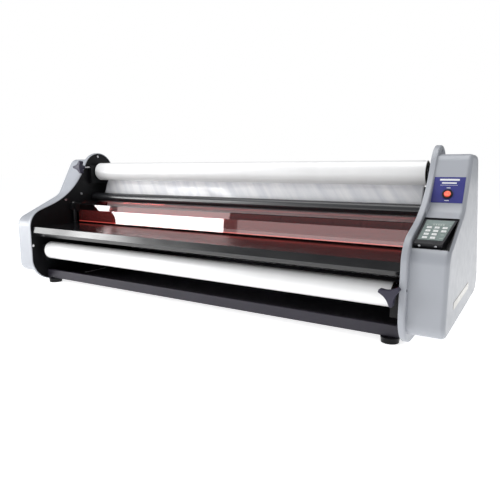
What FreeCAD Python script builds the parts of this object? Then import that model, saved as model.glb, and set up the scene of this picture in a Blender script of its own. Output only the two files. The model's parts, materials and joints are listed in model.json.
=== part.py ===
"""A wide table-top roll laminator: two side plates in plastic covers, a supply roll above and below the
feed table, one driven pair of rubber rollers, a tinted safety shield and a control panel on the right.

Lengths are millimetres. X runs across the machine, Y from front to back and Z up. The origin is on the
bench, under the middle of the machine's box. Depths are given from the feed table's front edge, and
table_to_origin carries them into the part's frame.
"""
import FreeCAD, Part

import math
import os
import re

from FreeCAD import Placement, Rotation, Vector

DRIVING = {
    # frame
    "plate_gap": 1585.0,
    "plate_thick": 5.0,
    "table_to_origin": 335.23,
    "nip_height": 257.0,
    "nip_depth": 375.0,
    # side covers
    "cover_reach": 117.0,
    "cover_wall": 3.0,
    "flange_lap": 3.0,
    "flange_width": 19.5,
    "rim_radius": 14.0,
    # sheet metal
    "sheet_thick": 3.0,
    "guard_thick": 2.0,
    "table_height": 251.0,
    "pan_front": 68.0,
    "pan_rear": 640.0,
    "pan_bottom": 17.0,
    "pan_lip_top": 53.0,
    # supply rolls
    "upper_roll_depth": 385.0,
    "upper_roll_height": 488.5,
    "upper_roll_radius": 41.0,
    "upper_roll_half": 768.0,
    "lower_roll_depth": 68.5,
    "lower_roll_height": 145.0,
    "lower_roll_radius": 37.4,
    "lower_roll_half": 757.0,
    "core_inner": 33.0,
    "core_outer": 36.0,
    "mandrel_radius": 12.5,
    "run_gap": 0.05,
    # driven rollers
    "roller_radius": 41.8,
    "roller_core": 30.0,
    "roller_half": 775.0,
    "journal_radius": 12.5,
    "bearing_radius": 20.0,
    "bearing_width": 11.0,
    "gear_width": 12.0,
    # idler bar
    "idler_depth": 358.0,
    "idler_height": 365.5,
    "idler_radius": 21.0,
    "idler_journal": 6.0,
    "idler_bearing": 11.0,
    # film
    "web_width": 1510.0,
    "web_thick": 0.4,
    # safety shield
    "shield_thick": 4.5,
    "shield_half": 773.0,
    "pivot_depth": 226.0,
    "pivot_height": 330.0,
    "pin_radius": 4.0,
    "post_radius": 8.0,
    # brake knobs
    "stud_radius": 5.0,
    "stud_rise": 20.0,
    "knob_thick": 20.0,
    "hub_radius": 9.0,
    # feet
    "foot_radius": 28.5,
    "foot_x": 751.0,
}
D = DRIVING

ALONG_X = Rotation(Vector(0, 1, 0), 90)
ALONG_Y = Rotation(Vector(1, 0, 0), -90)
UPRIGHT = Rotation()

INNER_X = D["plate_gap"] / 2
OUTER_X = INNER_X + D["cover_reach"]

# Gears of one module: the two roller gears mesh with each other, and the pinion with the lower one.
GEAR_MODULE = 3.0
ROLLER_TEETH = 28
PINION_TEETH = 12
PRESSURE_ANGLE = math.radians(20)
BACKLASH = 0.35
UPPER_ROLLER_Z = D["nip_height"] + GEAR_MODULE * ROLLER_TEETH / 2
LOWER_ROLLER_Z = D["nip_height"] - GEAR_MODULE * ROLLER_TEETH / 2
PINION_BEARING = math.radians(-60)
PINION_REACH = GEAR_MODULE * (ROLLER_TEETH + PINION_TEETH) / 2
PINION_Y = D["nip_depth"] + PINION_REACH * math.cos(PINION_BEARING)
PINION_Z = LOWER_ROLLER_Z + PINION_REACH * math.sin(PINION_BEARING)

# The two sloping faces of the right cover: their slope, and the (depth, height) of their lower end.
LABEL_SLOPE = 60.5
LABEL_FOOT = (241.8, 400.8)
KEYPAD_SLOPE = 24.3
KEYPAD_FOOT = (30.0, 290.0)
RECESS = {"x": (807.0, 903.0), "length": 170.0, "depth": 24.0, "wall": 2.0}

# Side outline of a cover's flange: (depth, height, corner radius), from the lower front corner.
FLANGE_OUTLINE = [
    (-9.0, 8.5, 100.0),
    (-9.0, 304.6, 80.0),
    (236.3, 390.0, 340.0),
    (386.2, 679.5, 91.0),
    (758.0, 8.5, 74.5),
]
# Side outline of the box that stands out of the flange.
BOX_OUTLINE = [
    (9.0, 44.0, 40.0),
    (9.0, 280.5, 50.0),
    (230.3, 380.4, 60.0),
    (324.5, 547.0, 40.0),
    (459.6, 547.0, 40.0),
    (734.4, 44.0, 60.0),
]
PLATE_INSET = 3.5

doc = FreeCAD.newDocument("RollLaminator")
sheet = doc.addObject("Spreadsheet::Sheet", "Dimensions")
for row, (alias, size) in enumerate(DRIVING.items(), start=1):
    sheet.set(f"A{row}", alias)
    sheet.set(f"B{row}", str(size))
    sheet.setAlias(f"B{row}", alias)
doc.recompute()

nodes = []


# ---------------------------------------------------------------- helpers


def formula(text):
    """An expression whose words are the sheet's aliases."""
    return re.sub(r"[a-z]+(?:_[a-z]+)+", r"Dimensions.\g<0>", str(text))


def bind(item, **sizes):
    for name, text in sizes.items():
        item.setExpression(name, formula(text))
    return item


def place(item, x, y, z, turn=UPRIGHT):
    """Puts an item at (x, y, z), with y measured from the feed table's front edge."""
    item.Placement = Placement(Vector(), turn)
    item.setExpression("Placement.Base.x", formula(x))
    item.setExpression("Placement.Base.y", formula(f"{y} - table_to_origin"))
    item.setExpression("Placement.Base.z", formula(z))
    return item


def rod(radius, length, x, y, z, turn=ALONG_X):
    item = doc.addObject("Part::Cylinder", "Rod")
    bind(item, Radius=radius, Height=length)
    return place(item, x, y, z, turn)


def block(size, x, y, z, turn=UPRIGHT):
    item = doc.addObject("Part::Box", "Block")
    bind(item, Length=size[0], Width=size[1], Height=size[2])
    return place(item, x, y, z, turn)


def fuse(*items):
    whole = doc.addObject("Part::MultiFuse", "Joined")
    whole.Shapes = list(items)
    return whole


def cut(base, *tools):
    rest = doc.addObject("Part::Cut", "Trimmed")
    rest.Base = base
    rest.Tool = tools[0] if len(tools) == 1 else fuse(*tools)
    return rest


def group(*items):
    """Separate solids kept as one sub-part."""
    whole = doc.addObject("Part::Compound", "Group")
    whole.Links = list(items)
    return whole


def mirror(item):
    """The same piece on the other side of the machine."""
    copy = doc.addObject("Part::Mirroring", "Mirror")
    copy.Source = item
    copy.Base = Vector()
    copy.Normal = Vector(1, 0, 0)
    return copy


def node(label, item):
    item.Label = label
    nodes.append(item)
    return item


def outline(corners):
    """Lines and tangent arcs of a closed outline whose corners are (u, v, radius)."""
    arcs = []
    for i, (u, v, radius) in enumerate(corners):
        here = Vector(u, v, 0)
        before = (Vector(*corners[i - 1][:2], 0) - here).normalize()
        after = (Vector(*corners[(i + 1) % len(corners)][:2], 0) - here).normalize()
        half = before.getAngle(after) / 2
        run = radius / math.tan(half)
        inward = (before + after).normalize()
        middle = here + inward * (radius / math.sin(half) - radius)
        arcs.append((here + before * run, middle, here + after * run))
    edges = []
    for i, (start, middle, end) in enumerate(arcs):
        if corners[i][2] > 0:
            edges.append(Part.Arc(start, middle, end))
        edges.append(Part.LineSegment(end, arcs[(i + 1) % len(arcs)][0]))
    return edges


def inset(corners, distance):
    """The outline moved inwards by distance. The corners run so that the solid is on the right."""
    def unit(i):
        a, b = corners[i], corners[(i + 1) % len(corners)]
        return Vector(b[0] - a[0], b[1] - a[1], 0).normalize()

    moved = []
    for i, (u, v, radius) in enumerate(corners):
        before, after = unit(i - 1), unit(i)
        side_before = Vector(before.y, -before.x, 0)
        side_after = Vector(after.y, -after.x, 0)
        convex = before.x * after.y - before.y * after.x < 0
        shift = (side_before + side_after) * (distance / (1 + side_before.dot(side_after)))
        moved.append((u + shift.x, v + shift.y, radius - distance if convex else radius + distance))
    return moved


def circle(u, v, radius):
    return Part.Circle(Vector(u, v, 0), Vector(0, 0, 1), radius)


def body():
    """An empty body whose sketches use depths from the feed table's front edge."""
    return place(doc.addObject("PartDesign::Body", "Body"), "0", "0", "0")


def sketch(owner, role, edges, offset="0"):
    """A sketch on one of the body's origin planes, moved along its normal by offset."""
    plane = [item for item in owner.Origin.OriginFeatures if item.Role == role][0]
    drawing = owner.newObject("Sketcher::SketchObject", "Sketch")
    drawing.AttachmentSupport = [(plane, "")]
    drawing.MapMode = "FlatFace"
    drawing.setExpression("AttachmentOffset.Base.z", formula(offset))
    drawing.addGeometry(edges, False)
    return drawing


def pad(owner, role, edges, length, offset="0", midplane=False):
    feature = owner.newObject("PartDesign::Pad", "Pad")
    feature.Profile = sketch(owner, role, edges, offset)
    feature.Midplane = midplane
    bind(feature, Length=length)
    doc.recompute()
    return feature


def pocket(owner, role, edges, length, offset="0"):
    """Cuts from the sketch towards the plane's normal."""
    before = owner.Shape.Volume
    feature = owner.newObject("PartDesign::Pocket", "Pocket")
    feature.Profile = sketch(owner, role, edges, offset)
    feature.Reversed = True
    bind(feature, Length=length)
    doc.recompute()
    assert owner.Shape.Volume < before - 1, f"{owner.Label}: a pocket cuts nothing"
    return feature


def fillet(owner, chosen, radius):
    """Rounds the edges of the body's tip for which chosen(edge) is true."""
    base = owner.Tip
    names = [f"Edge{i}" for i, edge in enumerate(base.Shape.Edges, start=1) if chosen(edge)]
    feature = owner.newObject("PartDesign::Fillet", "Fillet")
    feature.Base = (base, names)
    feature.Radius = radius
    doc.recompute()
    return feature


def in_plane(axis, place_on_axis):
    """Chooses the edges that lie in one plane across an axis of the body's own frame."""
    def chosen(edge):
        low, high = getattr(edge.BoundBox, axis + "Min"), getattr(edge.BoundBox, axis + "Max")
        return abs(low - place_on_axis) < 0.01 and abs(high - place_on_axis) < 0.01
    return chosen


def on_slope(foot, slope, along, out):
    """Depth and height of a point on a sloping face: along it from its foot, and out of it."""
    angle = math.radians(slope)
    return (
        foot[0] + along * math.cos(angle) - out * math.sin(angle),
        foot[1] + along * math.sin(angle) + out * math.cos(angle),
    )


def slope_block(size, x, foot, slope, along, out):
    """A box whose width runs up the slope and whose height stands out of it."""
    y, z = on_slope(foot, slope, along, out)
    return block(size, x, y, z, Rotation(Vector(1, 0, 0), slope))


def slope_rod(radius, length, x, foot, slope, along, out):
    y, z = on_slope(foot, slope, along, out)
    return rod(radius, length, x, y, z, Rotation(Vector(1, 0, 0), slope))


# ---------------------------------------------------------------- frame


def side_plate():
    """The right-hand steel side plate, with its bearing holes."""
    plate = body()
    edges = outline(inset(FLANGE_OUTLINE, PLATE_INSET))
    edges.append(circle(D["nip_depth"], UPPER_ROLLER_Z, D["bearing_radius"]))
    edges.append(circle(D["nip_depth"], LOWER_ROLLER_Z, D["bearing_radius"]))
    edges.append(circle(D["idler_depth"], D["idler_height"], D["idler_bearing"]))
    pad(plate, "YZ_Plane", edges, "plate_thick", "plate_gap / 2")
    return plate


def base_pan():
    """A folded pan between the plates: front lip with a return, floor, and a low rear wall."""
    thick, front, rear = D["sheet_thick"], D["pan_front"], D["pan_rear"]
    bottom, lip, rear_top, hem = D["pan_bottom"], D["pan_lip_top"], 140.0, 14.0
    corners = [
        (front, bottom, 2), (front, lip, 2), (front + hem, lip, 0), (front + hem, lip - thick, 0),
        (front + thick, lip - thick, 0), (front + thick, bottom + thick, 0),
        (rear - thick, bottom + thick, 0), (rear - thick, rear_top, 0), (rear, rear_top, 0),
        (rear, bottom, 2),
    ]
    pan = body()
    pad(pan, "YZ_Plane", outline(corners), "plate_gap", midplane=True)
    inlet = [(676, 67, 0), (676, 93, 0), (724, 93, 0), (724, 67, 0)]
    pocket(pan, "XZ_Plane", outline(inlet), "sheet_thick", "-pan_rear")
    return pan


def strip(points, thick, length):
    """A sheet folded along X through (depth, height) points, thick to the right of their run."""
    corners = []
    for direction in (1, -1):
        run = points if direction == 1 else points[::-1]
        for i, (u, v) in enumerate(run):
            if direction == 1:
                corners.append((u, v, 0))
                continue
            sides = []
            for a, b in ((i - 1, i), (i, i + 1)):
                if a >= 0 and b < len(run):
                    way = Vector(run[a][0] - run[b][0], run[a][1] - run[b][1], 0).normalize()
                    sides.append(Vector(way.y, -way.x, 0))
            total = sides[0] if len(sides) == 1 else (sides[0] + sides[1]) / (1 + sides[0].dot(sides[1]))
            corners.append((u + total.x * thick, v + total.y * thick, 0))
    folded = body()
    pad(folded, "YZ_Plane", outline(corners), length, midplane=True)
    return folded


def feed_table():
    """The flat table in front of the nip, with a lip folded in two steps along its front edge."""
    top = D["table_height"]
    path = [(11, top - 40), (0, top - 25), (4, top), (340, top)]
    return strip(path, D["sheet_thick"], "plate_gap")


def exit_table():
    """The table behind the nip, and the skirt that closes the back below it."""
    top = D["table_height"] - 4
    path = [(412, top), (612, top), (664, 150)]
    return strip(path, D["sheet_thick"], "plate_gap")


def rear_guard():
    """The sloping guard over the driven rollers at the back."""
    path = [(455, 440), (486, 440), (572, 292), (560, 284)]
    return strip(path, D["guard_thick"], "plate_gap")


def tie_bars():
    """Round bars that hold the side plates apart, and a bare metal strip on the pan's floor."""
    places = ((470, 385), (330, 90), (600, 90))
    bars = [rod(10, "plate_gap", "-plate_gap / 2", y, z) for y, z in places]
    floor_strip = block((10, 122, 2), -720, 212, "pan_bottom + sheet_thick")
    return group(*bars, floor_strip)


def feet():
    """Four rubber feet under the pan."""
    found = []
    for side in (-1, 1):
        for y in (76, 600):
            foot = doc.addObject("Part::Cone", "Foot")
            bind(foot, Radius1="foot_radius - 2", Radius2="foot_radius", Height="pan_bottom")
            found.append(place(foot, f"{side} * foot_x", y, "0"))
    return group(*found)


# Where screw heads sit on the inner face of each side plate, as (depth, height).
PLATE_SCREWS = (
    (185, 360.5), (275, 384), (386, 561), (1.5, 168.5), (40, 236), (300, 236), (110, 30), (600, 30),
)


def screws():
    """Screw heads on the inner faces of the side plates, and one on top of each shield post."""
    heads = []
    for y, z in PLATE_SCREWS:
        heads.append(rod(5.5, 2.5, "plate_gap / 2 - 2.5", y, z))
        heads.append(rod(5.5, 2.5, "-plate_gap / 2", y, z))
    for side in (-1, 1):
        heads.append(rod(4.5, 3, f"{side} * (shield_half + 11.5)", 221, "pivot_height + 15", UPRIGHT))
    return group(*heads)


# ---------------------------------------------------------------- covers


# Sunk screws in each flange's outer face: (depth, height, hole radius, head radius).
SUNK_SCREWS = ((388.0, 559.0, 7.0, 6.2), (0.0, 178.0, 6.5, 5.8))
BOSS_WALL = 1.0
# Distances out from the plate's inner face: a boss's end, and the floor of its hole.
BOSS_END = 14.5
HOLE_FLOOR = 11.0


def cover_shell():
    """A moulded side cover, right-hand: a rounded flange around the plate's edge, and a hollow box."""
    start = f"{INNER_X} - flange_lap"
    shell = body()
    pad(shell, "YZ_Plane", outline(FLANGE_OUTLINE), "flange_width", start)
    flange_face = INNER_X - D["flange_lap"] + D["flange_width"]
    fillet(shell, in_plane("X", flange_face), 6)
    fillet(shell, in_plane("X", INNER_X - D["flange_lap"]), 2.5)
    seat = "plate_gap / 2 + plate_thick"
    pad(shell, "YZ_Plane", outline(BOX_OUTLINE), "cover_reach - plate_thick", seat)
    fillet(shell, in_plane("X", OUTER_X), D["rim_radius"])
    wall = D["cover_wall"]
    plate_room = outline(inset(FLANGE_OUTLINE, PLATE_INSET))
    pocket(shell, "YZ_Plane", plate_room, "flange_lap + plate_thick", start)
    flange_room = outline(inset(FLANGE_OUTLINE, PLATE_INSET + wall))
    pocket(shell, "YZ_Plane", flange_room, "flange_width - flange_lap - plate_thick - cover_wall", seat)
    box_room = outline(inset(BOX_OUTLINE, wall))
    pocket(shell, "YZ_Plane", box_room, "cover_reach - plate_thick - rim_radius", seat)
    rim_room = outline(inset(BOX_OUTLINE, 8))
    rim_start = "plate_gap / 2 + cover_reach - rim_radius"
    pocket(shell, "YZ_Plane", rim_room, "rim_radius - cover_wall", rim_start)
    bosses, holes = [], []
    for y, z, radius, _ in SUNK_SCREWS:
        bosses.append(rod(radius + BOSS_WALL, f"{BOSS_END} - plate_thick", seat, y, z))
        holes.append(rod(radius, 20, f"plate_gap / 2 + {HOLE_FLOOR}", y, z))
    return cut(fuse(shell, *bosses), *holes)


def right_cover(shell):
    """The right cover is cut for the keypad recess and the power switch."""
    left, right = RECESS["x"]
    at = (KEYPAD_FOOT, KEYPAD_SLOPE)
    recess = slope_block((right - left, RECESS["length"], 60), left, *at, 0, -RECESS["depth"])
    switch = slope_rod("12.1", 30, SWITCH_X, LABEL_FOOT, LABEL_SLOPE, SWITCH_ALONG, -20)
    return cut(shell, recess, switch)


def cover_screws():
    """The sunk screws of both covers, and two screws in the lower end of the control panel's box."""
    heads = []
    for y, z, _, radius in SUNK_SCREWS:
        head = rod(radius, 3, f"plate_gap / 2 + {HOLE_FLOOR}", y, z)
        heads += [head, mirror(head)]
    y, z = on_slope(KEYPAD_FOOT, KEYPAD_SLOPE, PANEL_START, PANEL_SCREW_OUT)
    out_of_end = Rotation(Vector(1, 0, 0), KEYPAD_SLOPE + 90)
    for x in PANEL_SCREWS_X:
        heads.append(rod(3, 1.5, x, y, z, out_of_end))
    return group(*heads)


def side_badges():
    """A blank plate on the outer face of each cover."""
    badge = body()
    corners = [(130, 106, 4), (130, 128, 4), (436, 128, 4), (436, 106, 4)]
    pad(badge, "YZ_Plane", outline(corners), "1", "plate_gap / 2 + cover_reach")
    return group(badge, mirror(badge))


# ---------------------------------------------------------------- controls

SWITCH_X = 853.5
SWITCH_ALONG = 28.5
LABEL_X = (809.5, 898.5)
LABEL_LENGTH = 87.0
LABEL_THICK = 0.8
SWITCH_PIVOT = on_slope(LABEL_FOOT, LABEL_SLOPE, SWITCH_ALONG, LABEL_THICK)
ROCKER_TILT = 6.0

# The panel's face: flush with the cover at its top end, standing out of the recess at its lower end.
PANEL_X = (810.0, 899.0)
PANEL_START = 8.0
PANEL_END = 160.0
PANEL_RISE = 11.0
PANEL_TAPER = 14.0
FACE_TILT = math.degrees(math.atan(PANEL_RISE / (PANEL_END - PANEL_START)))
FACE_SLOPE = KEYPAD_SLOPE - FACE_TILT
FACE_FOOT = on_slope(KEYPAD_FOOT, KEYPAD_SLOPE, PANEL_START, PANEL_RISE)
FACE_LENGTH = math.hypot(PANEL_RISE, PANEL_END - PANEL_START)
PANEL_SCREWS_X = (826.0, 868.0)
PANEL_SCREW_OUT = 4.0
# Bezel left around the printed sheet: left, right, lower and upper.
MARGINS = (6.0, 6.0, 22.0, 6.0)
KEYS_START = 826.0
OVERLAY_THICK = 0.6
KEY_SIZE = (13.0, 11.0)
KEY_PROUD = 1.2
KEY_DEPTH = 5.0
KEY_GAP = 0.3
# Rows of keys from the top: how many keys, and how far up the face.
KEY_ROWS = ((3, 92.0), (3, 71.0), (2, 50.0), (2, 29.0))
KEY_PITCH = 21.0


def switch_label():
    """A coloured plate around the power switch."""
    width = LABEL_X[1] - LABEL_X[0]
    plate = slope_block((width, LABEL_LENGTH, LABEL_THICK), LABEL_X[0], LABEL_FOOT, LABEL_SLOPE, 0, 0)
    hole = slope_rod(12.1, 10, SWITCH_X, LABEL_FOOT, LABEL_SLOPE, SWITCH_ALONG, -5)
    return cut(plate, hole)


def power_switch_body():
    """A round switch body through the cover, with a collar and a well for the rocker."""
    at = (SWITCH_X, LABEL_FOOT, LABEL_SLOPE, SWITCH_ALONG)
    collar = slope_rod(15.5, 2.5, *at, LABEL_THICK)
    barrel = slope_rod(12, 24, *at, LABEL_THICK - 24)
    well = slope_rod(10.4, 14, *at, LABEL_THICK + 2.5 - 12)
    bearing = rod(1.25, 23.2, SWITCH_X - 11.6, *SWITCH_PIVOT)
    return cut(fuse(collar, barrel), well, bearing)


def power_rocker():
    """A round rocker on a cross pin, at rest with its upper half pressed in."""
    disc = slope_rod(9.6, 8, SWITCH_X, SWITCH_PIVOT, LABEL_SLOPE - ROCKER_TILT, 0, -4)
    return fuse(disc, rod(1.2, 22.8, SWITCH_X - 11.4, *SWITCH_PIVOT))


def keypad_recess():
    """A black tray let into the cover under the control panel."""
    left, right = RECESS["x"]
    wall, deep = RECESS["wall"], RECESS["depth"]
    at = (KEYPAD_FOOT, KEYPAD_SLOPE)
    tray = slope_block((right - left, RECESS["length"], deep), left, *at, 0, -deep)
    room_size = (right - left - 2 * wall, RECESS["length"] - 2 * wall, deep)
    room = slope_block(room_size, left + wall, *at, wall, wall - deep)
    return cut(tray, room)


def key_places():
    """Left end and distance up the face of every key, row by row from the top."""
    found = []
    for count, along in KEY_ROWS:
        for column in range(count):
            found.append((KEYS_START + column * KEY_PITCH, along))
    return found


def face_block(size, x, along, out):
    return slope_block(size, x, FACE_FOOT, FACE_SLOPE, along, out)


def key_holes(reach):
    """Clearance holes for the keys, reaching into the face by reach."""
    width, length = KEY_SIZE[0] + 2 * KEY_GAP, KEY_SIZE[1] + 2 * KEY_GAP
    size = (width, length, reach + 4)
    return [face_block(size, x - KEY_GAP, along - KEY_GAP, -reach) for x, along in key_places()]


def taper_wedge(offset):
    """The corner taken off the panel's right side, which slants inwards towards its lower end."""
    right, narrow = PANEL_X[1] - offset, PANEL_X[1] - offset - PANEL_TAPER
    wedge = doc.addObject("Part::Feature", "Wedge")
    points = [(right, FACE_LENGTH), (narrow, 0), (narrow, -30), (right + 30, -30), (right + 30, FACE_LENGTH)]
    face = Part.Face(Part.makePolygon([Vector(u, v, -60) for u, v in points + points[:1]]))
    wedge.Shape = face.extrude(Vector(0, 0, 90))
    y, z = FACE_FOOT
    place(wedge, "0", y, z, Rotation(Vector(1, 0, 0), FACE_SLOPE))
    return wedge


def control_panel_housing():
    """The panel's box: a hollow wedge that stands in the recess."""
    floor = RECESS["wall"] - RECESS["depth"]
    profile = [(PANEL_START, floor), (PANEL_START, PANEL_RISE), (PANEL_END, 0), (PANEL_END, floor)]
    corners = [(*on_slope(KEYPAD_FOOT, KEYPAD_SLOPE, along, out), 0) for along, out in profile]
    case = body()
    pad(case, "YZ_Plane", outline(corners), PANEL_X[1] - PANEL_X[0], PANEL_X[0])
    size = (PANEL_X[1] - PANEL_X[0] - PANEL_TAPER - 6, PANEL_END - PANEL_START - 8, 12)
    room = slope_block(size, PANEL_X[0] + 3, KEYPAD_FOOT, KEYPAD_SLOPE, PANEL_START + 4, floor + 2)
    return cut(case, taper_wedge(0), room, *key_holes(KEY_DEPTH + 15))


def keypad_overlay():
    """The printed sheet on the panel's face, cut out around the keys."""
    left, right, lower, upper = MARGINS
    size = (PANEL_X[1] - PANEL_X[0] - left - right, FACE_LENGTH - lower - upper, OVERLAY_THICK)
    film = face_block(size, PANEL_X[0] + left, lower, 0)
    return cut(film, taper_wedge(right), *key_holes(2))


def display_window():
    """The display's window at the top of the panel."""
    start = (PANEL_X[0] + PANEL_X[1] - 38) / 2
    return face_block((38, 12, 0.8), start, FACE_LENGTH - 43, OVERLAY_THICK)


def key(number):
    x, along = key_places()[number]
    size = (*KEY_SIZE, KEY_DEPTH + KEY_PROUD)
    return face_block(size, x, along, OVERLAY_THICK - KEY_DEPTH)


def control_board():
    """The panel's circuit board, with its larger components."""
    floor = RECESS["wall"] - RECESS["depth"]
    at = (KEYPAD_FOOT, KEYPAD_SLOPE)
    board = slope_block((60, 136, 1.6), PANEL_X[0] + 5, *at, PANEL_START + 8, floor + 3)
    chip = slope_block((14, 14, 2), PANEL_X[0] + 30, *at, PANEL_START + 60, floor + 4.6)
    display = slope_block((44, 14, 3), PANEL_X[0] + 14, *at, PANEL_START + 120, floor + 4.6)
    return fuse(board, chip, display)


def power_supply():
    """The supply's case on the right plate, with cooling slots in its top."""
    x = "plate_gap / 2 + plate_thick"
    case = block((70, 160, 60), x, 430, 70)
    room = block((62, 152, 54), f"{x} + 4", 434, 73)
    slots = [block((46, 4, 10), f"{x} + 12", 446 + 12 * i, 124) for i in range(11)]
    return cut(case, room, *slots)


def mains_inlet():
    """An appliance inlet in the pan's rear wall, with three blades in its well."""
    flange = block((56, 3, 34), 672, "pan_rear", 63)
    barrel = block((47, 26, 25), 676.5, "pan_rear - 26", 67.5)
    well = block((25, 17, 17), 687.5, "pan_rear - 14", 71.5)
    case = cut(fuse(flange, barrel), well)
    blades = [block((4, 12, 2), x, "pan_rear - 15", z) for x, z in ((690, 77), (706, 77), (698, 82))]
    return fuse(case, *blades)


# ---------------------------------------------------------------- supply rolls


def supply_roll(which):
    """Film, card core, chucks and mandrel of one supply roll, ready to be labelled."""
    y, z, half = f"{which}_roll_depth", f"{which}_roll_height", f"{which}_roll_half"
    span, start = f"2 * {half}", f"-{half}"
    film = cut(
        rod(f"{which}_roll_radius", span, start, y, z),
        rod("core_outer", span, start, y, z),
    )
    core = cut(
        rod("core_outer", span, start, y, z),
        rod("core_inner", span, start, y, z),
    )
    chucks = []
    for side in (-1, 1):
        plug_start = f"{half} - 60" if side == 1 else start
        lip_start = half if side == 1 else f"-{half} - 2"
        lip_radius = "upper_roll_radius - 4" if which == "upper" else "core_inner - 0.5"
        lip = rod(lip_radius, "2", lip_start, y, z)
        plug = rod("core_inner", "60", plug_start, y, z)
        bore = rod("mandrel_radius", "80", f"{plug_start} - 10", y, z)
        chucks.append(cut(fuse(plug, lip), bore))
    mandrel = rod("mandrel_radius", "plate_gap - 5", "2.5 - plate_gap / 2", y, z)
    return film, core, group(*chucks), mandrel


# How far a split clamp reaches in front of its mandrel, and its screw's distance past the roll's end.
CLAMP_FRONT = {"upper": 59.0, "lower": 50.0}
STUD_OUT = {"upper": 14.25, "lower": 13.5}


def roll_bracket(which, side, clamped):
    """A block on the side plate that carries a mandrel: a large split clamp, or a small open saddle."""
    y, z, half = f"{which}_roll_depth", f"{which}_roll_height", f"{which}_roll_half"
    width = f"plate_gap / 2 - {half} - 4"
    x = f"{half} + 4" if side == 1 else "-plate_gap / 2"
    front, back, drop, height = (CLAMP_FRONT[which], 50, 54, 30) if clamped else (20, 20, 44, 24)
    base = block((width, front + back, drop + height), x, f"{y} - {front}", f"{z} - {drop}")
    bore = rod("mandrel_radius + run_gap", "60", f"{x} - 10", y, z)
    if clamped:
        split = block(("60", "5", "60"), f"{x} - 10", f"{y} - 2.5", z)
        rise = f"{z} + stud_rise"
        hole = rod("stud_radius + run_gap", "140", stud_x(which, side), f"{y} - 70", rise, ALONG_Y)
        return cut(base, bore, split, hole)
    mouth = block(("60", "2 * mandrel_radius + 2 * run_gap", "60"), f"{x} - 10",
                  f"{y} - mandrel_radius - run_gap", z)
    return cut(base, bore, mouth)


def stud_x(which, side):
    """The clamp screw's distance from the machine's middle."""
    return f"{side} * ({which}_roll_half + {STUD_OUT[which]})"


def roll_brackets():
    return group(
        roll_bracket("upper", -1, True),
        roll_bracket("upper", 1, False),
        roll_bracket("lower", -1, False),
        roll_bracket("lower", 1, True),
    )


def brake_knob(which, side, reach, first):
    """A three-armed knob and its hub, with the threaded stud that closes the split clamp."""
    x, z = stud_x(which, side), f"{which}_roll_height + stud_rise"
    front = CLAMP_FRONT[which]
    back = f"{which}_roll_depth - {front} - {reach}"
    corners = []
    for lobe in range(3):
        for turn, radius, round_off in ((-8.5, 32.2, 3), (8.5, 32.2, 3), (60, 11.5, 48)):
            angle = math.radians(first + 120 * lobe + turn)
            corners.append((radius * math.cos(angle), radius * math.sin(angle), round_off))
    grip = doc.addObject("PartDesign::Body", "Body")
    pad(grip, "XZ_Plane", outline(corners), "knob_thick")
    fillet(grip, in_plane("Y", -D["knob_thick"]), 2)
    place(grip, x, back, z)
    hub = rod("hub_radius", "19", x, back, z, ALONG_Y)
    bore = rod("stud_radius", "40", x, f"{back} - 8", z, ALONG_Y)
    stud = rod("stud_radius", f"{reach} + {front} + 48", x, f"{back} - 8", z, ALONG_Y)
    return cut(fuse(grip, hub), bore), stud


# ---------------------------------------------------------------- rollers and drive


def involute_gear(teeth, width, bore, x, y, z, first):
    """A spur gear along X whose first tooth points at the angle first, in the YZ plane."""
    pitch = GEAR_MODULE * teeth / 2
    base = pitch * math.cos(PRESSURE_ANGLE)
    tip, root = pitch + 0.95 * GEAR_MODULE, pitch - 1.2 * GEAR_MODULE
    half_tooth = (math.pi * GEAR_MODULE / 2 - BACKLASH) / (2 * pitch)

    def flank(radius):
        """Half the tooth's angle at a radius on its involute."""
        def involute(angle):
            return math.tan(angle) - angle
        pressure = math.acos(min(1.0, base / radius))
        return half_tooth + involute(PRESSURE_ANGLE) - involute(pressure)

    radii = [base + (tip - base) * step / 4 for step in range(5)]
    points = []
    for tooth in range(teeth):
        centre = first + 2 * math.pi * tooth / teeth
        rise = [(root, centre - flank(base))] + [(r, centre - flank(r)) for r in radii]
        fall = [(r, centre + flank(r)) for r in reversed(radii)] + [(root, centre + flank(base))]
        points += [Vector(0, r * math.cos(a), r * math.sin(a)) for r, a in rise + fall]
    face = Part.Face(Part.makePolygon(points + points[:1]))
    solid = face.extrude(Vector(width, 0, 0))
    hole = Part.makeCylinder(bore, width, Vector(), Vector(1, 0, 0))
    gear = doc.addObject("Part::Feature", "Gear")
    gear.Shape = solid.cut(hole)
    return place(gear, x, y, z)


def driven_roller(z):
    """Rubber sleeve, steel core with its journals, both along X through the nip's depth."""
    span, start, y = "2 * roller_half", "-roller_half", "nip_depth"
    sleeve = cut(
        rod("roller_radius", span, start, y, z),
        rod("roller_core", span, start, y, z),
    )
    left_end = INNER_X + D["plate_thick"] + 3 + D["gear_width"]
    right_end = INNER_X + D["plate_thick"] + 3
    shaft = fuse(
        rod("roller_core", span, start, y, z),
        rod("journal_radius", left_end + right_end, -left_end, y, z),
    )
    return sleeve, shaft


def gear_start(width):
    return -(INNER_X + D["plate_thick"] + 3 + width)


def roller_bearings():
    """Bearing rings in the plates' holes."""
    rings = []
    for side in (-1, 1):
        x = "plate_gap / 2 - 4" if side == 1 else "4 - plate_gap / 2 - bearing_width"
        for z in (UPPER_ROLLER_Z, LOWER_ROLLER_Z):
            rings.append(cut(
                rod("bearing_radius", "bearing_width", x, "nip_depth", z),
                rod("journal_radius + run_gap", "bearing_width", x, "nip_depth", z),
            ))
        x = "plate_gap / 2" if side == 1 else "-plate_gap / 2 - plate_thick"
        rings.append(cut(
            rod("idler_bearing", "plate_thick", x, "idler_depth", "idler_height"),
            rod("idler_journal + run_gap", "plate_thick", x, "idler_depth", "idler_height"),
        ))
    return group(*rings)


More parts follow.
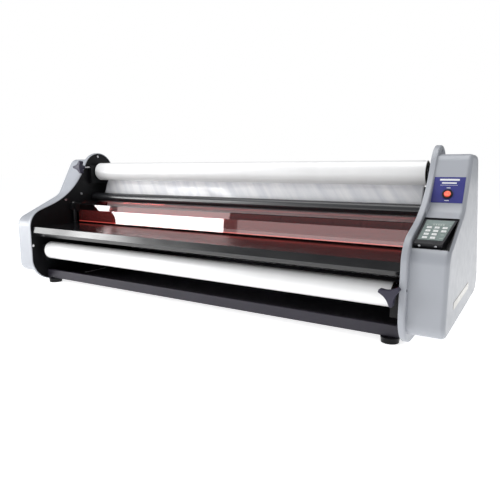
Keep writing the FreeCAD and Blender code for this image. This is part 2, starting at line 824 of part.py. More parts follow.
def upper_idler():
    """The bar under the upper roll that leads the film down to the nip."""
    y, z = "idler_depth", "idler_height"
    return fuse(
        rod("idler_radius", "plate_gap - 8", "4 - plate_gap / 2", y, z),
        rod("idler_journal", "plate_gap + 2 * plate_thick - 1", "0.5 - plate_gap / 2 - plate_thick", y, z),
    )


def drive_motor():
    """A geared motor on three standoffs, outboard of the roller gears in the left cover."""
    front = -(INNER_X + D["plate_thick"] + 18)
    gearbox = block((40, 70, 70), front - 40, PINION_Y - 35, PINION_Z - 35)
    bore = rod("6 + run_gap", 10, front - 10, PINION_Y, PINION_Z)
    can = rod(30, 46, front - 86, PINION_Y, PINION_Z)
    posts = []
    for dy, dz in ((-28, -28), (28, -28), (28, 28)):
        posts.append(rod(5, 18, front, PINION_Y + dy, PINION_Z + dz))
    return cut(fuse(gearbox, can, *posts), bore)


def motor_pinion(first):
    """The pinion with the motor's output shaft."""
    gear = involute_gear(PINION_TEETH, D["gear_width"], 6, gear_start(D["gear_width"]),
                         PINION_Y, PINION_Z, first)
    front = -(INNER_X + D["plate_thick"] + 18)
    shaft = rod(6, 25, front - 9.5, PINION_Y, PINION_Z)
    return fuse(gear, shaft)


# ---------------------------------------------------------------- film and shield


def tangent(first, second, same_side):
    """Unit normal of the line that touches two circles (y, z, radius), behind the first one."""
    way = Vector(second[0] - first[0], second[1] - first[1], 0)
    length = way.Length
    way.normalize()
    side = Vector(-way.y, way.x, 0)
    sign = 1 if same_side else -1
    lean = (first[2] - sign * second[2]) / length
    return way * lean + side * math.sqrt(1 - lean * lean)


def film_web():
    """The film from the back of the upper roll, behind the idler and down to the upper roller."""
    clear = 0.3 + D["web_thick"] / 2
    supply = (D["upper_roll_depth"], D["upper_roll_height"], D["upper_roll_radius"] + clear)
    idler = (D["idler_depth"], D["idler_height"], D["idler_radius"] + clear)
    roller = (D["nip_depth"], UPPER_ROLLER_Z, D["roller_radius"] + clear)
    upper, lower = tangent(supply, idler, True), tangent(idler, roller, False)
    half = D["web_thick"] / 2
    middle = (upper + lower).normalize()

    def at(disc, normal, shift, sign=1):
        return Vector(disc[0], disc[1], 0) + normal * (sign * disc[2] + shift)

    faces = []
    for shift in (half, -half):
        faces.append((
            at(supply, upper, shift), at(idler, upper, shift), at(idler, middle, shift),
            at(idler, lower, shift), at(roller, lower, shift, -1),
        ))
    edges = []
    for start, touch, bend, leave, end in faces:
        edges.append(Part.LineSegment(start, touch))
        edges.append(Part.Arc(touch, bend, leave))
        edges.append(Part.LineSegment(leave, end))
    edges.append(Part.LineSegment(faces[0][0], faces[1][0]))
    edges.append(Part.LineSegment(faces[0][4], faces[1][4]))
    web = body()
    pad(web, "YZ_Plane", edges, "web_width", midplane=True)
    return web


# Side profile of the shield, from its top edge to its lower edge.
SHIELD_PATH = [(284.5, 350.5), (248.5, 336), (243.5, 310.5), (240, 257.5)]


def shield_panel():
    """The bent acrylic shield."""
    path = SHIELD_PATH[::-1]
    return strip(path, D["shield_thick"], "2 * shield_half")


def shield_arm():
    """The right-hand arm on the shield's end, with the pin it swings on."""
    corners = [(214, 318, 10), (214, 343, 10), (256, 345, 5), (262, 338, 5), (252, 296, 5), (242, 296, 5)]
    arm = body()
    pad(arm, "YZ_Plane", outline(corners), "3", "shield_half")
    pin = rod("pin_radius", "18", "shield_half", "pivot_depth", "pivot_height")
    return fuse(arm, pin)


def shield_post():
    """The right-hand post on the feed table, with the head that holds the shield's pin."""
    x, y = "shield_half + 11.5", "pivot_depth - 0.5"
    column = rod("post_radius", "pivot_height - 16 - table_height", x, y, "table_height", UPRIGHT)
    ring = rod("post_radius + 3.5", "5", x, y, "table_height", UPRIGHT)
    head = block(("16", "36", "32"), "shield_half + 3.5", "pivot_depth - 19", "pivot_height - 17")
    bore = rod("pin_radius + run_gap", "40", "shield_half", "pivot_depth", "pivot_height")
    plate_side = block(("20", "60", "20"), "plate_gap / 2", "pivot_depth - 30", "table_height - 5")
    return cut(fuse(column, ring, head), bore, plate_side)


# ---------------------------------------------------------------- assembly


def build():
    plate = node("right_side_plate", side_plate())
    node("left_side_plate", mirror(plate))
    node("base_pan", base_pan())
    node("feed_table", feed_table())
    node("exit_table", exit_table())
    node("rear_guard", rear_guard())
    node("tie_bars", tie_bars())
    node("feet", feet())
    node("frame_screws", screws())

    shell = cover_shell()
    node("left_cover", mirror(shell))
    node("right_cover", right_cover(shell))
    node("cover_screws", cover_screws())
    node("side_badges", side_badges())

    node("switch_label", switch_label())
    node("power_switch_body", power_switch_body())
    node("power_rocker", power_rocker())
    node("keypad_recess", keypad_recess())
    node("control_panel_housing", control_panel_housing())
    node("keypad_overlay", keypad_overlay())
    node("display_window", display_window())
    for number in range(len(key_places())):
        node(f"key_{number + 1}", key(number))
    node("control_board", control_board())
    node("power_supply", power_supply())
    node("mains_inlet", mains_inlet())

    for which in ("upper", "lower"):
        film, core, chucks, mandrel = supply_roll(which)
        node(f"{which}_film", film)
        node(f"{which}_core", core)
        node(f"{which}_core_chucks", chucks)
        node(f"{which}_mandrel", mandrel)
    node("roll_brackets", roll_brackets())
    for which, side, reach, first in (("upper", -1, 54, 180), ("lower", 1, 34, -80)):
        knob, stud = brake_knob(which, side, reach, first)
        node(f"{which}_brake_knob", knob)
        node(f"{which}_brake_stud", stud)

    half_step = math.pi / ROLLER_TEETH
    gear_x = gear_start(D["gear_width"])
    upper_first, lower_first = -math.pi / 2, math.pi / 2 + half_step
    for which, z, first in (("upper", UPPER_ROLLER_Z, upper_first), ("lower", LOWER_ROLLER_Z, lower_first)):
        sleeve, shaft = driven_roller(z)
        node(f"{which}_main_roller", sleeve)
        node(f"{which}_main_shaft", shaft)
        bore = D["journal_radius"]
        gear = involute_gear(ROLLER_TEETH, D["gear_width"], bore, gear_x, D["nip_depth"], z, first)
        node(f"{which}_main_gear", gear)
    steps_off = (PINION_BEARING - lower_first) / (2 * half_step)
    tooth_lead = (steps_off - math.floor(steps_off)) * 2 * half_step
    pinion_turn = tooth_lead * ROLLER_TEETH / PINION_TEETH
    node("motor_pinion", motor_pinion(PINION_BEARING + math.pi + math.pi / PINION_TEETH + pinion_turn))
    node("drive_motor", drive_motor())
    node("roller_bearings", roller_bearings())
    node("upper_idler", upper_idler())
    node("film_web", film_web())

    node("shield_panel", shield_panel())
    arm, post = shield_arm(), shield_post()
    node("shield_arms", group(arm, mirror(arm)))
    node("shield_posts", group(post, mirror(post)))


def check():
    """Stops with a message if any object failed or any sub-part has no sound shape."""
    for item in doc.Objects:
        failed = [state for state in item.State if state in ("Invalid", "Error")]
        if failed:
            raise SystemExit(f"{item.Name} ({item.Label}) is {failed}")
    for item in nodes:
        if item.Shape.isNull() or not item.Shape.isValid() or not item.Shape.Solids:
            raise SystemExit(f"{item.Label} has no sound shape")


def export():
    os.makedirs("parts", exist_ok=True)
    for item in nodes:
        item.Shape.exportStep(f"parts/{item.Label}.step")
    box = Part.makeCompound([item.Shape for item in nodes]).BoundBox
    print(f"{len(nodes)} sub-parts, X {box.XMin:.2f} {box.XMax:.2f},", end=" ")
    print(f"Y {box.YMin:.2f} {box.YMax:.2f}, Z {box.ZMin:.2f} {box.ZMax:.2f}")


build()
doc.recompute()
check()
export()
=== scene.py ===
"""Looks of the roll laminator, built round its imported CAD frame. Metres, in the frame's own axes."""

import json
import math

import bmesh
import bpy
from mathutils import Matrix, Vector, noise


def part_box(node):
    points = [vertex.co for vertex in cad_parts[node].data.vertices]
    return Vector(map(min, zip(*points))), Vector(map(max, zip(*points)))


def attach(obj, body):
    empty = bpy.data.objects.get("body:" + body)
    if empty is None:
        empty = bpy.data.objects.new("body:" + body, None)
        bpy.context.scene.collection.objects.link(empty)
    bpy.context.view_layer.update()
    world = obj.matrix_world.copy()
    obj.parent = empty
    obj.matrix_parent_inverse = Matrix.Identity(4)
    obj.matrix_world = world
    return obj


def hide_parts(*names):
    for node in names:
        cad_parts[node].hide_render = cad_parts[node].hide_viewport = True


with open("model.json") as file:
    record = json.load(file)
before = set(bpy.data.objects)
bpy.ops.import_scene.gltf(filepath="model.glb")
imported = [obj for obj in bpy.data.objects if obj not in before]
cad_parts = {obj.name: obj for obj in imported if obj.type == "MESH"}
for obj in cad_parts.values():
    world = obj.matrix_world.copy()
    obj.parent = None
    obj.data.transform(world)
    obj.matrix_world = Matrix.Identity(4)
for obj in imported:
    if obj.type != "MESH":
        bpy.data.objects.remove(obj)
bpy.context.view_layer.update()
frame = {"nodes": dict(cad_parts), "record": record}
scene = bpy.context.scene

# ---------------------------------------------------------------- places read from the frame


def middle(node):
    low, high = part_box(node)
    return (low + high) / 2


def size(node):
    low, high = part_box(node)
    return high - low


# Height of the shield's lower fold, and how far up from its foot the bottom edge has a painted glow: emission
# standing in for light gathered in the edge.
SHIELD_FOLD = 0.3105
SHIELD_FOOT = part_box("shield_panel")[0].z
PAINTED_GLOW_HEIGHT = 0.0035
SUPPLY = middle("upper_film")
SUPPLY_RADIUS = size("upper_film").z / 2
IDLER = middle("upper_idler")
IDLER_RADIUS = size("upper_idler").z / 2
ROLLER = middle("upper_main_roller")
ROLLER_RADIUS = size("upper_main_roller").z / 2

# ---------------------------------------------------------------- camera and light

CAMERA_AT = (1.0993, -1.6354, 0.4917)
CAMERA_YAW = 31.05
CAMERA_PITCH = 9.23
CAMERA_ROLL = 0.19
CAMERA_LENS = 34.82

WORLD_STRENGTH = 0.26
FLOOR_GLOW = 0.8
# Name, place, aim, width, height and radiance of each softbox.
SOFTBOXES = (
    ("overhead", (0.0, 0.1, 2.9), (0, 0, 0.2), 3.6, 2.4, 2.3),
    ("key_low", (-2.0, -2.17, 0.29), (-0.3, 0, 0.29), 1.08, 0.2, 11.0),
    ("key_middle", (-2.25, -1.97, 0.52), (-0.5, 0, 0.52), 0.42, 0.26, 17.0),
    ("key_high", (-2.0, -2.17, 0.95), (-0.3, 0, 0.7), 1.08, 0.6, 2.0),
    ("key_top", (-2.0, -2.2, 1.75), (-0.3, 0, 0.3), 1.08, 0.8, 7.0),
    ("far_left", (-2.62, -1.42, 0.6), (-0.5, 0, 0.5), 0.75, 1.0, 7.4),
    ("low_strip", (-0.62, -2.95, 0.28), (0.2, 0, 0.28), 1.9, 0.34, 1.0),
    ("fill_right", (2.6, -2.6, 1.7), (0.9, -0.2, 0.3), 1.2, 1.2, 0.5),
)


def make_camera():
    lens = bpy.data.cameras.new("camera")
    lens.lens = CAMERA_LENS
    lens.sensor_width = 36.0
    lens.clip_start, lens.clip_end = 0.05, 60.0
    camera = bpy.data.objects.new("camera", lens)
    yaw, pitch = math.radians(CAMERA_YAW), math.radians(CAMERA_PITCH)
    forward = Vector((-math.sin(yaw) * math.cos(pitch), math.cos(yaw) * math.cos(pitch), -math.sin(pitch)))
    turn = forward.to_track_quat("-Z", "Y").to_matrix().to_4x4()
    roll = Matrix.Rotation(math.radians(CAMERA_ROLL), 4, "Z")
    camera.matrix_world = Matrix.Translation(CAMERA_AT) @ turn @ roll
    scene.collection.objects.link(camera)
    scene.camera = camera


def softbox(name, at, aim, width, height, power, colour=(1, 1, 1)):
    light = bpy.data.lights.new(name, "AREA")
    light.shape = "RECTANGLE"
    light.size, light.size_y = width, height
    light.energy = power
    light.color = colour
    box = bpy.data.objects.new(name, light)
    box.location = at
    box.rotation_mode = "QUATERNION"
    box.rotation_quaternion = (Vector(aim) - Vector(at)).to_track_quat("-Z", "Y")
    scene.collection.objects.link(box)
    return box


def make_studio():
    """A white sweep under and round the machine, a broad light overhead and boxes low at the front."""
    scene.view_settings.view_transform = "Standard"
    world = bpy.data.worlds.new("surround")
    world.use_nodes = True
    nodes, links = world.node_tree.nodes, world.node_tree.links
    seen, lit = nodes["Background"], nodes.new("ShaderNodeBackground")
    seen.inputs["Color"].default_value = (1, 1, 1, 1)
    seen.inputs["Strength"].default_value = 1.0
    lit.inputs["Color"].default_value = (0.95, 0.97, 1, 1)
    lit.inputs["Strength"].default_value = WORLD_STRENGTH
    path, mix = nodes.new("ShaderNodeLightPath"), nodes.new("ShaderNodeMixShader")
    links.new(path.outputs["Is Camera Ray"], mix.inputs["Fac"])
    links.new(lit.outputs["Background"], mix.inputs[1])
    links.new(seen.outputs["Background"], mix.inputs[2])
    links.new(mix.outputs["Shader"], nodes["World Output"].inputs["Surface"])
    scene.world = world

    mesh = bpy.data.meshes.new("floor")
    reach = 30.0
    mesh.from_pydata([(-reach, -reach, 0), (reach, -reach, 0), (reach, reach, 0), (-reach, reach, 0)],
                     [], [(0, 1, 2, 3)])
    floor = bpy.data.objects.new("floor", mesh)
    scene.collection.objects.link(floor)
    paper = bpy.data.materials.new("floor_paper")
    paper.use_nodes = True
    sheet = paper.node_tree.nodes["Principled BSDF"]
    sheet.inputs["Base Color"].default_value = (0.8, 0.8, 0.8, 1)
    sheet.inputs["Roughness"].default_value = 1.0
    sheet.inputs["Specular IOR Level"].default_value = 0.0
    sheet.inputs["Emission Color"].default_value = (1, 1, 1, 1)
    sheet.inputs["Emission Strength"].default_value = FLOOR_GLOW
    mesh.materials.append(paper)

    for name, at, aim, width, height, radiance in SOFTBOXES:
        softbox(name, at, aim, width, height, radiance * math.pi * width * height)


# ---------------------------------------------------------------- materials


def start_material(name, colour, rough, metal=0.0, coat=0.0, coat_rough=0.1, shine=0.5):
    material = bpy.data.materials.new(name)
    material.use_nodes = True
    shader = material.node_tree.nodes["Principled BSDF"]
    shader.inputs["Base Color"].default_value = (*colour, 1)
    shader.inputs["Roughness"].default_value = rough
    shader.inputs["Metallic"].default_value = metal
    shader.inputs["Coat Weight"].default_value = coat
    shader.inputs["Coat Roughness"].default_value = coat_rough
    shader.inputs["Specular IOR Level"].default_value = shine
    return material, shader


def grain(material, scale, detail=3.0, stretch=(1, 1, 1), rough=0.55):
    """A noise pattern fixed to the piece: its features are about 1/scale metres across."""
    nodes, links = material.node_tree.nodes, material.node_tree.links
    where, shape = nodes.new("ShaderNodeTexCoord"), nodes.new("ShaderNodeMapping")
    pattern = nodes.new("ShaderNodeTexNoise")
    shape.inputs["Scale"].default_value = stretch
    pattern.inputs["Scale"].default_value = scale
    pattern.inputs["Detail"].default_value = detail
    pattern.inputs["Roughness"].default_value = rough
    links.new(where.outputs["Object"], shape.inputs["Vector"])
    links.new(shape.outputs["Vector"], pattern.inputs["Vector"])
    return pattern.outputs["Fac"]


def ramp(material, factor, low, high, start=0.35, end=0.65):
    """Spreads a pattern between two values or two colours."""
    nodes, links = material.node_tree.nodes, material.node_tree.links
    spread = nodes.new("ShaderNodeValToRGB")
    points = spread.color_ramp.elements
    points[0].position, points[1].position = start, end
    as_colour = [c if isinstance(c, tuple) else (c, c, c) for c in (low, high)]
    points[0].color, points[1].color = [(*c, 1) for c in as_colour]
    links.new(factor, spread.inputs["Fac"])
    return spread.outputs["Color"]


def bump(material, factor, depth, strength=1.0):
    nodes, links = material.node_tree.nodes, material.node_tree.links
    relief = nodes.new("ShaderNodeBump")
    relief.inputs["Distance"].default_value = depth
    relief.inputs["Strength"].default_value = strength
    links.new(factor, relief.inputs["Height"])
    links.new(relief.outputs["Normal"], nodes["Principled BSDF"].inputs["Normal"])


def shade(colour, factor):
    return tuple(min(1.0, c * factor) for c in colour)


def surface(name, colour, rough, spread=0.06, fine=900, depth=0.00004, metal=0.0, coat=0.0, coat_rough=0.1,
            stretch=(1, 1, 1), cloud=6.0, drift=0.1, shine=0.5):
    """A solid material: slow colour drift, slow change of gloss and a fine surface texture."""
    material, shader = start_material(name, colour, rough, metal, coat, coat_rough, shine)
    links = material.node_tree.links
    slow = grain(material, cloud, 4.0)
    links.new(ramp(material, slow, shade(colour, 1 - drift), shade(colour, 1 + drift)),
              shader.inputs["Base Color"])
    mottle = grain(material, cloud * 9, 5.0, stretch)
    links.new(ramp(material, mottle, max(0.02, rough - spread), min(1.0, rough + spread)),
              shader.inputs["Roughness"])
    if depth:
        bump(material, grain(material, fine, 2.0, stretch), depth)
    return material


def brushed(name, colour, rough, along="x"):
    """Turned or brushed metal, its fine lines running round or along the piece."""
    stretch = {"x": (0.02, 1, 1), "ring": (1, 0.05, 0.05)}[along]
    return surface(name, colour, rough, 0.1, 1500, 0.00002, metal=1.0, stretch=stretch, cloud=12.0)


def powder_coat(name, colour=(0.0055, 0.0055, 0.0065), rough=0.4):
    return surface(name, colour, rough, 0.08, 1400, 0.00003, cloud=5.0, drift=0.25, shine=0.22)


def table_gloss(name):
    """Stoved black enamel: nearly a mirror, with some wiping marks."""
    material, shader = start_material(name, (0.005, 0.005, 0.006), 0.2, coat=0.25, coat_rough=0.14)
    links = material.node_tree.links
    wipes = grain(material, 14, 5.0, (0.35, 1, 1))
    links.new(ramp(material, wipes, 0.15, 0.25), shader.inputs["Roughness"])
    bump(material, grain(material, 700, 2.0), 0.00001)
    return material


def moulded_grey(name):
    """Silver-grey moulding with a fine eggshell texture."""
    return surface(name, (0.385, 0.402, 0.438), 0.36, 0.05, 1300, 0.00005, coat=0.2, coat_rough=0.25,
                   cloud=4.0, drift=0.03)


def wound_film(name):
    """White wound film: faint rings along the roll where turns lie a little apart, and card-coloured ends."""
    material, shader = start_material(name, (0.93, 0.93, 0.925), 0.3, coat=0.35, coat_rough=0.18)
    nodes, links = material.node_tree.nodes, material.node_tree.links
    bands = grain(material, 7, 6.0, (1, 0.02, 0.02))
    sides = ramp(material, bands, (0.90, 0.90, 0.90), (0.95, 0.95, 0.95))
    rings = grain(material, 260, 2.0, (0.01, 1, 1))
    ends = ramp(material, rings, (0.72, 0.66, 0.52), (0.84, 0.79, 0.66))
    shape, split = nodes.new("ShaderNodeNewGeometry"), nodes.new("ShaderNodeSeparateXYZ")
    facing, mix = nodes.new("ShaderNodeMath"), nodes.new("ShaderNodeMix")
    facing.operation = "ABSOLUTE"
    mix.data_type = "RGBA"
    links.new(shape.outputs["True Normal"], split.inputs["Vector"])
    links.new(split.outputs["X"], facing.inputs[0])
    links.new(facing.outputs["Value"], mix.inputs["Factor"])
    links.new(sides, mix.inputs["A"])
    links.new(ends, mix.inputs["B"])
    links.new(mix.outputs["Result"], shader.inputs["Base Color"])
    bump(material, bands, 0.0006, 0.3)
    return material


# Slope of the film's painted highlight streaks below the horizontal, towards +X.
WEB_STREAKS = 50


def thin_film(name):
    """Milky laminating film with slanting painted highlight streaks along its wrinkles."""
    material, shader = start_material(name, (0.85, 0.86, 0.9), 0.24, coat=0.7, coat_rough=0.1)
    nodes, links = material.node_tree.nodes, material.node_tree.links
    where, turn = nodes.new("ShaderNodeTexCoord"), nodes.new("ShaderNodeMapping")
    turn.vector_type = "TEXTURE"
    turn.inputs["Rotation"].default_value = (0, math.radians(WEB_STREAKS), 0)
    turn.inputs["Scale"].default_value = (1.2, 1, 0.09)
    sheen_streaks = nodes.new("ShaderNodeTexNoise")
    sheen_streaks.inputs["Scale"].default_value = 3.0
    sheen_streaks.inputs["Detail"].default_value = 5.0
    links.new(where.outputs["Object"], turn.inputs["Vector"])
    links.new(turn.outputs["Vector"], sheen_streaks.inputs["Vector"])
    # Painted highlight: the streaks lighten the base colour as light catching the wrinkles would; the bump
    # follows them.
    links.new(ramp(material, sheen_streaks.outputs["Fac"], (0.79, 0.80, 0.84), (0.97, 0.97, 0.98)),
              shader.inputs["Base Color"])
    bump(material, sheen_streaks.outputs["Fac"], 0.003, 0.3)
    return material


def tinted_acrylic(name):
    """Clear red acrylic, milkier below its lower fold, with a painted glow (emission) in its bottom edge
    standing in for light gathered there.
    """
    material, shader = start_material(name, (0.66, 0.105, 0.10), 0.02, coat=1.0, coat_rough=0.015)
    nodes, links = material.node_tree.nodes, material.node_tree.links
    shader.inputs["IOR"].default_value = 1.49
    shader.inputs["Coat IOR"].default_value = 1.75
    haze = grain(material, 18, 4.0, (0.4, 1, 1))
    links.new(ramp(material, haze, 0.015, 0.05), shader.inputs["Roughness"])
    where, split = nodes.new("ShaderNodeTexCoord"), nodes.new("ShaderNodeSeparateXYZ")
    clear = nodes.new("ShaderNodeMapRange")
    clear.inputs["From Min"].default_value = SHIELD_FOLD - 0.002
    clear.inputs["From Max"].default_value = SHIELD_FOLD + 0.001
    clear.inputs["To Min"].default_value = 0.84
    clear.inputs["To Max"].default_value = 1.0
    links.new(where.outputs["Object"], split.inputs["Vector"])
    links.new(split.outputs["Z"], clear.inputs["Value"])
    # Bottom edge: made nearly opaque and given a painted red glow by emission, though it is no lamp.
    edge, passed = nodes.new("ShaderNodeMapRange"), nodes.new("ShaderNodeMath")
    edge.inputs["From Min"].default_value = SHIELD_FOOT + PAINTED_GLOW_HEIGHT
    edge.inputs["From Max"].default_value = SHIELD_FOOT + PAINTED_GLOW_HEIGHT + 0.0005
    edge.inputs["To Min"].default_value = 0.1
    passed.operation = "MULTIPLY"
    glow = nodes.new("ShaderNodeMapRange")
    glow.inputs["From Min"].default_value = SHIELD_FOOT + PAINTED_GLOW_HEIGHT
    glow.inputs["From Max"].default_value = SHIELD_FOOT + PAINTED_GLOW_HEIGHT + 0.0005
    glow.inputs["To Min"].default_value = 0.35
    glow.inputs["To Max"].default_value = 0.0
    links.new(split.outputs["Z"], glow.inputs["Value"])
    links.new(glow.outputs["Result"], shader.inputs["Emission Strength"])
    shader.inputs["Emission Color"].default_value = (0.8, 0.09, 0.06, 1)
    links.new(split.outputs["Z"], edge.inputs["Value"])
    links.new(clear.outputs["Result"], passed.inputs[0])
    links.new(edge.outputs["Result"], passed.inputs[1])
    links.new(passed.outputs["Value"], shader.inputs["Transmission Weight"])
    return material


def lit_rocker(name):
    material, shader = start_material(name, (0.8, 0.06, 0.03), 0.22, coat=0.6, coat_rough=0.08)
    links = material.node_tree.links
    glow = grain(material, 160, 3.0)
    links.new(ramp(material, glow, (0.70, 0.04, 0.02), (0.92, 0.14, 0.06)), shader.inputs["Base Color"])
    shader.inputs["Emission Color"].default_value = (1.0, 0.10, 0.04, 1)
    shader.inputs["Emission Strength"].default_value = 0.35
    return material


MATERIALS = {
    "black_steel": powder_coat("black_steel"),
    "black_gloss": table_gloss("black_gloss"),
    "grey_plastic": moulded_grey("grey_plastic"),
    "black_plastic": surface("black_plastic", (0.008, 0.008, 0.01), 0.38, 0.1, 1100, 0.00005, shine=0.4),
    "knob_plastic": surface("knob_plastic", (0.032, 0.029, 0.052), 0.48, 0.1, 900, 0.00006, shine=0.4),
    "label_blue": surface("label_blue", (0.040, 0.042, 0.235), 0.33, 0.05, 1500, 0.00002, coat=0.2),
    "badge_plate": surface("badge_plate", (0.78, 0.76, 0.70), 0.35, 0.08, 1500, 0.00003, coat=0.2),
    "rocker_red": lit_rocker("rocker_red"),
    "overlay_green": surface("overlay_green", (0.21, 0.27, 0.25), 0.38, 0.08, 1800, 0.00003, coat=0.2),
    "display_glass": surface("display_glass", (0.30, 0.36, 0.33), 0.15, 0.05, 900, 0.0, coat=1.0),
    "key_white": surface("key_white", (0.93, 0.94, 0.92), 0.4, 0.08, 1500, 0.00003),
    "film_white": wound_film("film_white"),
    "web_film": thin_film("web_film"),
    "card": surface("card", (0.55, 0.43, 0.27), 0.8, 0.08, 500, 0.0002, cloud=30, drift=0.15),
    "steel": brushed("steel", (0.55, 0.55, 0.56), 0.28, "ring"),
    "zinc_screws": brushed("zinc_screws", (0.72, 0.72, 0.74), 0.25, "x"),
    "black_rubber": surface("black_rubber", (0.003, 0.003, 0.004), 0.2, 0.05, 600, 0.00002, coat=0.1,
                            coat_rough=0.06, shine=0.15),
    "silicone": surface("silicone", (0.10, 0.024, 0.019), 0.34, 0.08, 1200, 0.00004, stretch=(1, 0.1, 0.1)),
    "print_white": surface("print_white", (0.85, 0.86, 0.88), 0.4, 0.08, 1500, 0.00001),
    "print_pale": surface("print_pale", (0.42, 0.48, 0.45), 0.4, 0.08, 1500, 0.00001),
    "print_grey": surface("print_grey", (0.33, 0.36, 0.36), 0.4, 0.08, 1500, 0.00001),
    "tinted_acrylic": tinted_acrylic("tinted_acrylic"),
    "motor_alloy": brushed("motor_alloy", (0.5, 0.51, 0.53), 0.4, "x"),
    "circuit_green": surface("circuit_green", (0.02, 0.16, 0.06), 0.4, 0.1, 700, 0.00005, coat=0.4,
                             cloud=40, drift=0.4),
    "bearing_steel": brushed("bearing_steel", (0.62, 0.62, 0.63), 0.2, "ring"),
    "gear_steel": brushed("gear_steel", (0.42, 0.42, 0.43), 0.35, "ring"),
}


# Softened edge width of each CAD node, where it isn't EDGE.
EDGE = 0.0006
SMALL_EDGE = 0.0003
SMALL_EDGED = ("key_", "keypad_overlay", "display_window", "switch_label", "side_badges", "power_", "mains_",
               "control_board", "motor_pinion", "upper_main_gear", "lower_main_gear")
WIDE_EDGE = {"control_panel_housing": 0.0012, "roll_brackets": 0.001, "shield_posts": 0.001}
SHARP = math.radians(28)
# The folds of the clear shield stay crisp, and its faces truly flat.
FLAT_SIDED = ("shield_panel",)


def dark_bar(name):
    """Dark anodised bar, turned."""
    return surface(name, (0.02, 0.021, 0.024), 0.3, 0.06, 1500, 0.00002, coat=0.5, coat_rough=0.2,
                   stretch=(0.02, 1, 1), shine=0.8)


# Finishes that differ from their slot's: a violet-grey pan, near-white tie bars whose colour is a painted
# reflection of the light their strip catches, and a turned idler.
OWN_FINISH = {
    "base_pan": surface("pan_coat", (0.032, 0.029, 0.040), 0.38, 0.04, 1400, 0.000004, drift=0.12,
                        shine=0.32),
    # Painted reflection: near-white and not metallic, so the tie bars' strip shows bright as if catching
    # light.
    "tie_bars": surface("tie_bars_painted_sheen", (0.82, 0.82, 0.83), 0.5, 0.06, 1500, 0.00002),
    "upper_idler": dark_bar("idler_bar"),
}


def edge_width(name):
    if name.startswith(SMALL_EDGED):
        return SMALL_EDGE
    return WIDE_EDGE.get(name, EDGE)


def finish_cad_nodes():
    """Gives every CAD node its slot's material, smooth round faces and softened edges."""
    slots = {part["node"]: part["material_slot"] for part in frame["record"]["subparts"]}
    for name, piece in frame["nodes"].items():
        piece.data.materials.clear()
        piece.data.materials.append(OWN_FINISH.get(name, MATERIALS[slots[name]]))
        for face in piece.data.polygons:
            face.material_index = 0
        if name in FLAT_SIDED:
            normals = piece.data.attributes.get("custom_normal")
            if normals:
                piece.data.attributes.remove(normals)
            for face in piece.data.polygons:
                face.use_smooth = False
            continue
        for face in piece.data.polygons:
            face.use_smooth = True
        weld = piece.modifiers.new("weld", "WELD")
        weld.merge_threshold = 0.00001
        soften = piece.modifiers.new("edges", "BEVEL")
        soften.width = edge_width(name)
        soften.segments = 2
        soften.limit_method = "ANGLE"
        soften.angle_limit = SHARP
        flatten = piece.modifiers.new("flat_faces", "WEIGHTED_NORMAL")
        flatten.weight = 90


# ---------------------------------------------------------------- pieces made here

# The table's front edge, and the lower end of each sloping face of the right cover,
# as (y, z), with its slope.
TABLE_FRONT = -0.33523
LABEL_FOOT = (TABLE_FRONT + 0.2418, 0.4008)
LABEL_SLOPE = math.radians(60.5)
PANEL_FACE = (TABLE_FRONT + 0.0328, 0.3033)
PANEL_SLOPE = math.radians(24.3) - math.atan2(11, 152)


def face_matrix(foot, slope):
    """From (across, up the face, out of the face) to the frame's axes."""
    up = Vector((0, math.cos(slope), math.sin(slope)))
    out = Vector((0, -math.sin(slope), math.cos(slope)))
    turn = Matrix((Vector((1, 0, 0)), up, out)).transposed().to_4x4()
    return Matrix.Translation((0, *foot)) @ turn


def add_piece(name, mesh, material, body):
    piece = bpy.data.objects.new(name, mesh)
    scene.collection.objects.link(piece)
    mesh.materials.append(material)
    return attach(piece, body)


def rounded(width, height, radius, steps=4):
    """Corners of a rectangle with round corners, about its middle."""
    radius = min(radius, width / 2, height / 2)
    found = []
    for quarter in range(4):
        sx, sy = ((1, 1), (-1, 1), (-1, -1), (1, -1))[quarter]
        for step in range(steps + 1):
            angle = math.pi / 2 * (quarter + step / steps)
            found.append((sx * (width / 2 - radius) + radius * math.cos(angle),
                          sy * (height / 2 - radius) + radius * math.sin(angle)))
    return found


def printed(name, marks, matrix, out, material, body, thick=0.00012):
    """Thin printed marks on a face. Each mark is (across, up, width, height, corner radius)."""
    form = bmesh.new()
    for across, up, width, height, radius in marks:
        ring = [form.verts.new((across + u, up + v, out)) for u, v in rounded(width, height, radius)]
        top = [form.verts.new((v.co.x, v.co.y, out + thick)) for v in ring]
        form.faces.new(top)
        form.faces.new(ring[::-1])
        for i, vert in enumerate(ring):
            after = (i + 1) % len(ring)
            form.faces.new((vert, ring[after], top[after], top[i]))
    bmesh.ops.transform(form, matrix=matrix, verts=form.verts)
    mesh = bpy.data.meshes.new(name)
    form.to_mesh(mesh)
    form.free()
    return add_piece(name, mesh, material, body)


def label_marks():
    """Plain bars where the label is printed, and a bar and a dot for the switch's two states."""
    low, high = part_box("switch_label")
    centre = (low.x + high.x) / 2
    bars = [
        (centre, 0.0775, 0.056, 0.0062, 0.001),
        (centre, 0.0665, 0.042, 0.0048, 0.001),
        (centre, 0.0590, 0.050, 0.0009, 0.0004),
        (centre, 0.0500, 0.011, 0.0020, 0.0009),
        (centre, 0.0075, 0.013, 0.0022, 0.0009),
    ]
    face = face_matrix(LABEL_FOOT, LABEL_SLOPE)
    printed("label_marks", bars, face, 0.0008, MATERIALS["print_white"], "frame")


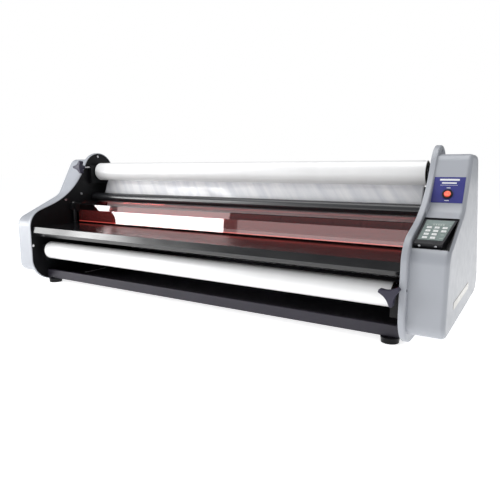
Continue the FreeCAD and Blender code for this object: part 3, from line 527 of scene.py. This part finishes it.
def panel_marks():
    """Faint marks on the keypad's sheet, and a small dark one on every key."""
    face = face_matrix(PANEL_FACE, PANEL_SLOPE)
    column = [0.8325 + 0.021 * step for step in range(3)]
    pale = [(column[2], 0.0555, 0.009, 0.0035, 0.001), (column[2], 0.0345, 0.009, 0.0035, 0.001)]
    pale += [(0.8235, 0.1155, 0.0055, 0.004, 0.002), (0.8855, 0.1155, 0.0055, 0.004, 0.002)]
    pale += [(0.8545, 0.1245, 0.034, 0.0012, 0.0005)]
    printed("overlay_marks", pale, face, 0.0006, MATERIALS["print_pale"], "frame")
    digits = [(0.8545 + 0.0065 * (step - 2), 0.1152, 0.0038, 0.0062, 0.0008) for step in range(5)]
    printed("display_digits", digits, face, 0.0014, MATERIALS["print_pale"], "frame")
    for number in range(1, 11):
        low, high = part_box(f"key_{number}")
        across = (low.x + high.x) / 2
        row = (0, 0, 0, 1, 1, 1, 2, 2, 3, 3)[number - 1]
        up = (0.092, 0.071, 0.050, 0.029)[row] + 0.0055
        printed(f"key_mark_{number}", [(across, up, 0.0045, 0.0012, 0.0005)], face, 0.0018,
                MATERIALS["print_grey"], f"key_{number}")


def touching_line(first, second, crossed):
    """Unit normal, in (y, z), of the line that touches two circles (y, z, radius) behind the first."""
    way = Vector((second[0] - first[0], second[1] - first[1]))
    length = way.length
    way.normalize()
    side = Vector((-way.y, way.x))
    lean = (first[2] + second[2] if crossed else first[2] - second[2]) / length
    return way * lean + side * math.sqrt(1 - lean * lean)


WEB_WIDTH = 1.510
WEB_THICK = 0.0004
WEB_CLEAR = 0.0005
WRINKLE = 0.0016


def web_line():
    """(y, z) points and outward normals of the film's path: upper roll, behind the idler, upper roller."""
    discs = [(at.y, at.z, radius + WEB_CLEAR) for at, radius in
             ((SUPPLY, SUPPLY_RADIUS), (IDLER, IDLER_RADIUS), (ROLLER, ROLLER_RADIUS))]
    supply, idler, roller = discs
    upper, lower = touching_line(supply, idler, False), touching_line(idler, roller, True)
    start = Vector(supply[:2]) + upper * supply[2]
    on, off = Vector(idler[:2]) + upper * idler[2], Vector(idler[:2]) + lower * idler[2]
    end = Vector(roller[:2]) - lower * roller[2]
    line = [(start.lerp(on, step / 24), upper, math.sin(math.pi * step / 24)) for step in range(24)]
    for step in range(9):
        normal = upper.slerp(lower, step / 8)
        line.append((Vector(idler[:2]) + normal * idler[2], normal, 0.0))
    line += [(off.lerp(end, step / 4), lower, 0.0) for step in range(1, 5)]
    return line


def make_web():
    """The film between the upper roll and the rollers, slightly wrinkled where it runs free."""
    line = web_line()
    columns = 240
    form = bmesh.new()
    rows = []
    for point, normal, free in line:
        row = []
        for column in range(columns + 1):
            x = WEB_WIDTH * (column / columns - 0.5)
            slant = Vector((x * 9 + point.y * 20, 0.3, x * 1.2))
            shift = WRINKLE * free * noise.noise(slant)
            row.append(form.verts.new((x, point.x + normal.x * shift, point.y + normal.y * shift)))
        rows.append(row)
    for above, below in zip(rows, rows[1:]):
        for i in range(columns):
            form.faces.new((above[i], above[i + 1], below[i + 1], below[i])).smooth = True
    mesh = bpy.data.meshes.new("web_sheet")
    form.to_mesh(mesh)
    form.free()
    web = add_piece("web_sheet", mesh, MATERIALS["web_film"], "frame")
    skin = web.modifiers.new("thickness", "SOLIDIFY")
    skin.thickness = WEB_THICK
    skin.offset = 0
    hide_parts("film_web")


make_camera()
make_studio()
finish_cad_nodes()
label_marks()
panel_marks()
make_web()
